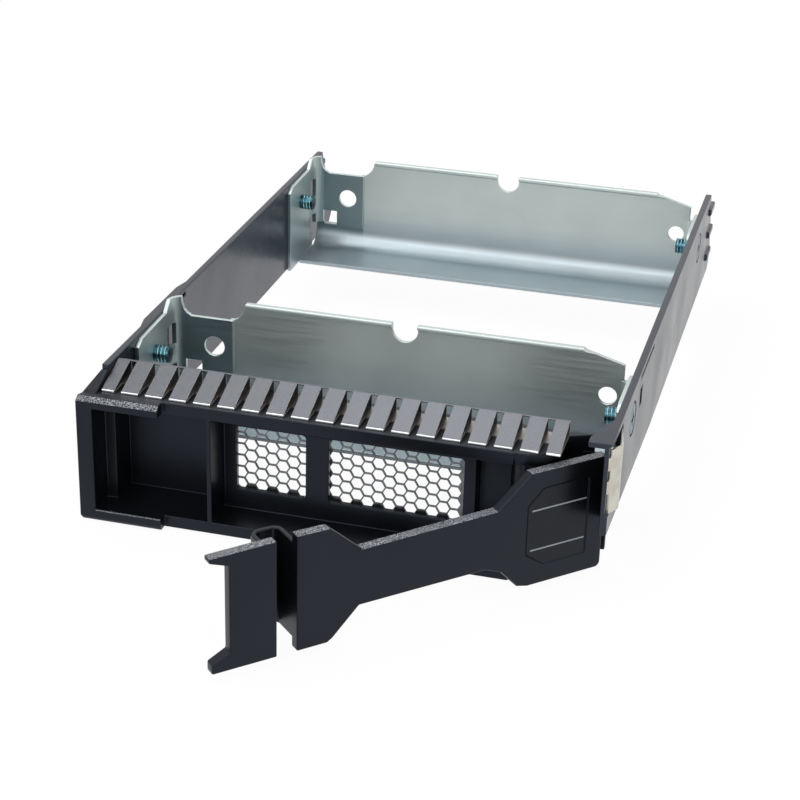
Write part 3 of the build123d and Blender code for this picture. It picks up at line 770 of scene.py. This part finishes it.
def sheetAlong(points, thickness, width):
    # bends a narrow sheet of even thickness along a side line; its left edge lies at x = 0
    inner = []
    for index, point in enumerate(points):
        before = points[max(index - 1, 0)]
        after = points[min(index + 1, len(points) - 1)]
        run = (after - before).normalized()
        inner.append(point + thickness * Vector((run.y, -run.x)))
    work = bmesh.new()
    # four rows of points, once round the sheet's section
    rows = [
        [work.verts.new((x, p.x, p.y)) for p in line]
        for x, line in ((0.0, points), (width, points), (width, inner), (0.0, inner))
    ]
    last = len(points) - 1
    for this, following in zip(rows, rows[1:] + rows[:1]):
        for i in range(last):
            work.faces.new((this[i], following[i], following[i + 1], this[i + 1]))
    for i in (0, last):
        work.faces.new([row[i] for row in rows])
    return work


def slab(work, low, high):
    for vert in bmesh.ops.create_cube(work, size=1.0)["verts"]:
        vert.co = Vector([(b + a) / 2 + c * (b - a) for a, b, c in zip(low, high, vert.co)])


def fingerMesh(values):
    # one finger: lip, slope, roll and rear foot, and the pad that joins it to the spine
    side = lipPoints(values) + rollPoints(values)
    side.append(Vector((values["rear"], values["seat"] + values["rollFoot"])))
    work = sheetAlong(side, values["sheet"], values["width"])
    padFront = values["rear"] - values["run"] + values["padFront"]
    padRear = values["rear"] - values["spine"] + values["padLap"]
    slab(
        work, (0, padFront, values["seat"]),
        (values["width"], padRear, values["seat"] + values["sheet"]),
    )
    bmesh.ops.recalc_face_normals(work, faces=work.faces)
    limit = math.radians(values["sharp"])
    sharp = [edge for edge in work.edges if edge.calc_face_angle(0) > limit]
    bmesh.ops.bevel(
        work, geom=sharp, offset=values["edge"], segments=2, affect="EDGES", profile=0.5
    )
    mesh = bpy.data.meshes.new("springFinger")
    work.to_mesh(mesh)
    work.free()
    return mesh


def crestBar(values):
    # a thin bar along the roll that joins the fingers at their crest
    roll = rollPoints(values)
    slope = (roll[0] - lipPoints(values)[-1]).normalized()
    line = [roll[0] - values["barLead"] * slope] + roll[:values["barSteps"]]
    line = [point - Vector((0, values["barSink"])) for point in line]
    bar = sheetAlong(line, values["sheet"], values["rightEdge"] - values["leftEdge"])
    bmesh.ops.translate(bar, verts=bar.verts, vec=(values["leftEdge"], 0, 0))
    bmesh.ops.recalc_face_normals(bar, faces=bar.faces)
    mesh = bpy.data.meshes.new("crestBar")
    bar.to_mesh(mesh)
    bar.free()
    return mesh


def springComb(values):
    tree, given = newTree("springComb", {
        "Finger": "NodeSocketGeometry",
        "Count": "NodeSocketInt",
        "Pitch": "NodeSocketFloat",
        "First left edge": "NodeSocketFloat",
        "First width ratio": "NodeSocketFloat",
        "Last width ratio": "NodeSocketFloat",
        "Last shift": "NodeSocketFloat",
        "Finish": "NodeSocketMaterial",
    })
    step = addNode(
        tree, "ShaderNodeMath", {"operation": "MULTIPLY", 1: -1.0}, {0: given["Pitch"]}
    )
    offset = addNode(tree, "ShaderNodeCombineXYZ", None, {0: step.outputs[0]})
    start = addNode(tree, "ShaderNodeCombineXYZ", None, {0: given["First left edge"]})
    places = addNode(
        tree, "GeometryNodeMeshLine", None,
        {"Count": given["Count"], "Start Location": start.outputs[0], "Offset": offset.outputs[0]},
    )
    # the first and the last finger are narrower than the rest
    index = addNode(tree, "GeometryNodeInputIndex")
    isFirst = addNode(
        tree, "ShaderNodeMath", {"operation": "COMPARE", 1: 0.0, 2: 0.5}, {0: index.outputs[0]}
    )
    lastIndex = addNode(
        tree, "ShaderNodeMath", {"operation": "SUBTRACT", 1: 1.0}, {0: given["Count"]}
    )
    isLast = addNode(
        tree, "ShaderNodeMath", {"operation": "COMPARE", 2: 0.5},
        {0: index.outputs[0], 1: lastIndex.outputs[0]},
    )
    shift = addNode(
        tree, "ShaderNodeMath", {"operation": "MULTIPLY"},
        {0: isLast.outputs[0], 1: given["Last shift"]},
    )
    shiftVector = addNode(tree, "ShaderNodeCombineXYZ", None, {0: shift.outputs[0]})
    moved = addNode(
        tree, "GeometryNodeSetPosition", None,
        {"Geometry": places.outputs[0], "Offset": shiftVector.outputs[0]},
    )
    firstScale = addNode(
        tree, "ShaderNodeMix", {"data_type": "FLOAT", 2: 1.0},
        {0: isFirst.outputs[0], 3: given["First width ratio"]},
    )
    widthScale = addNode(
        tree, "ShaderNodeMix", {"data_type": "FLOAT"},
        {0: isLast.outputs[0], 2: firstScale.outputs[0], 3: given["Last width ratio"]},
    )
    scale = addNode(
        tree, "ShaderNodeCombineXYZ", {1: 1.0, 2: 1.0}, {0: widthScale.outputs[0]}
    )
    fingers = addNode(
        tree, "GeometryNodeInstanceOnPoints", None,
        {"Points": moved.outputs[0], "Instance": given["Finger"], "Scale": scale.outputs[0]},
    )
    closeTree(tree, fingers.outputs[0], given["Finish"])
    mesh = plainMesh("gasket_finger_row", fingerMesh(values), tree, {
        "Count": values["count"],
        "Pitch": values["pitch"],
        "First left edge": values["rightEdge"] - values["firstWidth"],
        "First width ratio": values["firstWidth"] / values["width"],
        "Last width ratio": values["lastWidth"] / values["width"],
        "Last shift": values["width"] - values["lastWidth"],
        "Finish": stainlessSpring,
    })

    whole = bmesh.new()
    whole.from_mesh(mesh)
    whole.from_mesh(crestBar(values))
    slab(
        whole, (values["leftEdge"], values["rear"] - values["spine"], values["seat"]),
        (values["rightEdge"], values["rear"], values["seat"] + values["sheet"]),
    )
    for face in whole.faces:
        face.smooth = False
        face.material_index = 0
    whole.to_mesh(mesh)
    whole.free()
    mesh.materials.clear()
    mesh.materials.append(stainlessSpring)
    piece = linked("gasket_finger_comb", mesh)
    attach(piece, "tray")
    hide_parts("gasket_finger_strip")


thread = {
    "radius": 1.75 * mm,
    "ridge": 0.17 * mm,
    "ridgeSides": 6,
    "pitch": 0.79 * mm,  # 32 turns to the inch
    "turns": 3.6,
    "turnSteps": 20,
    "fromFront": 23.1 * mm,
    "spacing": 101.6 * mm,
    "height": 25.2 * mm,
    "tip": 46.95 * mm,
}


def threadTurns(values):
    tree, given = newTree("threadTurns", {
        "Radius": "NodeSocketFloat",
        "Pitch": "NodeSocketFloat",
        "Turns": "NodeSocketFloat",
        "Ridge": "NodeSocketFloat",
        "Finish": "NodeSocketMaterial",
    })
    length = addNode(
        tree, "ShaderNodeMath", {"operation": "MULTIPLY"}, {0: given["Pitch"], 1: given["Turns"]}
    )
    helix = addNode(
        tree, "GeometryNodeCurveSpiral",
        {"Resolution": values["turnSteps"], "Reverse": True},  # right-handed
        {
            "Rotations": given["Turns"],
            "Start Radius": given["Radius"],
            "End Radius": given["Radius"],
            "Height": length.outputs[0],
        },
    )
    section = addNode(
        tree, "GeometryNodeCurvePrimitiveCircle", {"Resolution": values["ridgeSides"]},
        {"Radius": given["Ridge"]},
    )
    ridge = addNode(
        tree, "GeometryNodeCurveToMesh", {"Fill Caps": True},
        {"Curve": helix.outputs[0], "Profile Curve": section.outputs[0]},
    )
    closeTree(tree, ridge.outputs[0], given["Finish"])
    turns = plainMesh("threadTurn", bpy.data.meshes.new("threadSeed"), tree, {
        "Radius": values["radius"],
        "Pitch": values["pitch"],
        "Turns": values["turns"],
        "Ridge": values["ridge"],
        "Finish": blueZinc,
    })

    work = bmesh.new()
    for side in (1, -1):
        for depth in (values["fromFront"], values["fromFront"] + values["spacing"]):
            placed = turns.copy()
            lie = Matrix.Rotation(side * math.pi / 2, 4, "Y")
            tip = Matrix.Translation((side * values["tip"], depth, values["height"]))
            placed.transform(tip @ lie)
            work.from_mesh(placed)
    for face in work.faces:
        face.smooth = True
        face.material_index = 0
    mesh = bpy.data.meshes.new("drive_screw_threads")
    work.to_mesh(mesh)
    work.free()
    mesh.materials.append(blueZinc)
    piece = linked("drive_screw_threads", mesh)
    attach(piece, "tray")


springComb(comb)
threadTurns(thread)
print("finger comb and thread turns made")


# floor and light

studioStage = {
    "floorSize": 6.0,
    "floorGap": 0.4 * mm,
    "floorColour": "#f4f4f4",
    "floorRoughness": 0.9,
    "floorWhite": 0.95,
    "skyLean": (-0.15, -0.79, 0.59),  # the sky is brightest this way, towards the camera and up
    "skySpan": (-0.4, 1.0),
    "skyPlaces": (0.0, 0.42, 0.8),  # where the next three tones lie on that span
    "skyBack": (0.2, 0.2, 0.2 * 1.06, 1),
    "skyTop": (0.42, 0.42, 0.42 * 1.04, 1),
    "skyFront": (1.15, 1.15, 1.15, 1),
}
softBoxes = {
    "stripBox": {
        "place": (-0.25, 0.2, 0.85), "aim": (0, 0.1, 0), "size": (1.1, 0.1), "power": 2.2,
    },
    "frontBox": {
        "place": (-0.3, -0.6, 0.8), "aim": (0, 0.03, 0), "size": (0.8, 0.2), "power": 2.0,
    },
    "rightBox": {
        "place": (0.9, -0.1, 0.5), "aim": (0, 0.03, 0.01), "size": (0.4, 0.6), "power": 1.5,
    },
    "cameraBox": {
        "place": (0.2, -0.85, 0.52), "aim": (0, 0, 0.01), "size": (0.3, 0.14), "power": 1.3,
    },
}


def backdropRays(tree):
    # 1 for the rays that see the white backdrop: camera, glossy and transmission
    path = addNode(tree, "ShaderNodeLightPath")
    mirrored = addNode(
        tree, "ShaderNodeMath", {"operation": "MAXIMUM"},
        {0: path.outputs["Is Glossy Ray"], 1: path.outputs["Is Transmission Ray"]},
    )
    seen = addNode(
        tree, "ShaderNodeMath", {"operation": "MAXIMUM"},
        {0: path.outputs["Is Camera Ray"], 1: mirrored.outputs[0]},
    )
    return seen.outputs[0]


def studioFloor(values):
    # matt white paper; what it lacks to full white in the picture keeps the tray's soft shadow
    mesh = bpy.data.meshes.new("floor")
    half = values["floorSize"] / 2
    level = cadLow.z - values["floorGap"]
    corners = [(-half, -half), (half, -half), (half, half), (-half, half)]
    mesh.from_pydata([(x, y, level) for x, y in corners], [], [(0, 1, 2, 3)])
    material, tree, shader = newMaterial("paperSweep")[:3]
    shader.inputs["Base Color"].default_value = hexColour(values["floorColour"])
    shader.inputs["Roughness"].default_value = values["floorRoughness"]
    glow = addNode(tree, "ShaderNodeEmission", {"Color": (1, 1, 1, 1), "Strength": 1.0})
    seen = addNode(
        tree, "ShaderNodeMath", {"operation": "MULTIPLY", 1: values["floorWhite"]},
        {0: backdropRays(tree)},
    )
    mix = addNode(
        tree, "ShaderNodeMixShader", None,
        {0: seen.outputs[0], 1: shader.outputs[0], 2: glow.outputs[0]},
    )
    output = next(n for n in tree.nodes if n.type == "OUTPUT_MATERIAL")
    tree.links.new(mix.outputs[0], output.inputs["Surface"])
    mesh.materials.append(material)
    linked("floor", mesh)


def studioWorld(values):
    # white backdrop; diffuse light comes from a soft sky in front and above, over a dim room
    world = bpy.data.worlds.new("studio")
    bpy.context.scene.world = world
    world.use_nodes = True
    tree = world.node_tree
    tree.nodes.clear()
    way = addNode(tree, "ShaderNodeTexCoord")
    lean = addNode(
        tree, "ShaderNodeVectorMath", {"operation": "DOT_PRODUCT", 1: values["skyLean"]},
        {0: way.outputs["Generated"]},
    )
    spread = addNode(
        tree, "ShaderNodeMapRange",
        {"From Min": values["skySpan"][0], "From Max": values["skySpan"][1]},
        {"Value": lean.outputs["Value"]},
    )
    tones = (values["skyBack"], values["skyTop"], values["skyFront"])
    levels = rampPoints(
        addNode(tree, "ShaderNodeValToRGB", None, {"Fac": spread.outputs["Result"]}),
        list(zip(values["skyPlaces"], tones)),
    )
    lit = addNode(
        tree, "ShaderNodeBackground", {"Strength": 1.0}, {"Color": levels.outputs["Color"]}
    )
    seen = addNode(tree, "ShaderNodeBackground", {"Color": (1, 1, 1, 1), "Strength": 1.0})
    mix = addNode(
        tree, "ShaderNodeMixShader", None,
        {0: backdropRays(tree), 1: lit.outputs[0], 2: seen.outputs[0]},
    )
    addNode(tree, "ShaderNodeOutputWorld", None, {"Surface": mix.outputs[0]})


def softBox(name, values):
    lamp = bpy.data.lights.new(name, "AREA")
    lamp.shape = "RECTANGLE"
    lamp.size, lamp.size_y = values["size"]
    lamp.energy = values["power"]
    box = linked(name, lamp)
    direction = Vector(values["aim"]) - Vector(values["place"])
    box.location = values["place"]
    box.rotation_euler = direction.to_track_quat("-Z", "Y").to_euler()


studioFloor(studioStage)
studioWorld(studioStage)
for name, values in softBoxes.items():
    softBox(name, values)
print("floor and lamps set")


# camera, solved from the photograph's lines

photoView = {
    "place": (96.87 * mm, -335.46 * mm, 196.91 * mm),
    "yaw": 14.534,
    "pitch": 25.261,
    "roll": 1.631,
    "focalPixels": 1972.1,
    "framePixels": 800,
    "sensor": 36.0,
    "near": 0.01,
}


def photoCamera(values):
    yaw, pitch, roll = (math.radians(values[k]) for k in ("yaw", "pitch", "roll"))
    level = math.cos(pitch)
    forward = Vector((-math.sin(yaw) * level, math.cos(yaw) * level, -math.sin(pitch)))
    right = Vector((math.cos(yaw), math.sin(yaw), 0))
    up = right.cross(forward)
    rolledRight = math.cos(roll) * right + math.sin(roll) * up
    rolledUp = -math.sin(roll) * right + math.cos(roll) * up
    data = bpy.data.cameras.new("photoCamera")
    data.sensor_width = values["sensor"]
    data.lens = values["sensor"] * values["focalPixels"] / values["framePixels"]
    data.clip_start = values["near"]
    camera = linked("photoCamera", data)
    turn = Matrix((rolledRight, rolledUp, -forward)).transposed().to_4x4()
    camera.matrix_world = Matrix.Translation(values["place"]) @ turn
    bpy.context.scene.camera = camera


photoCamera(photoView)
bpy.context.scene.view_settings.view_transform = "Standard"
print("camera set")
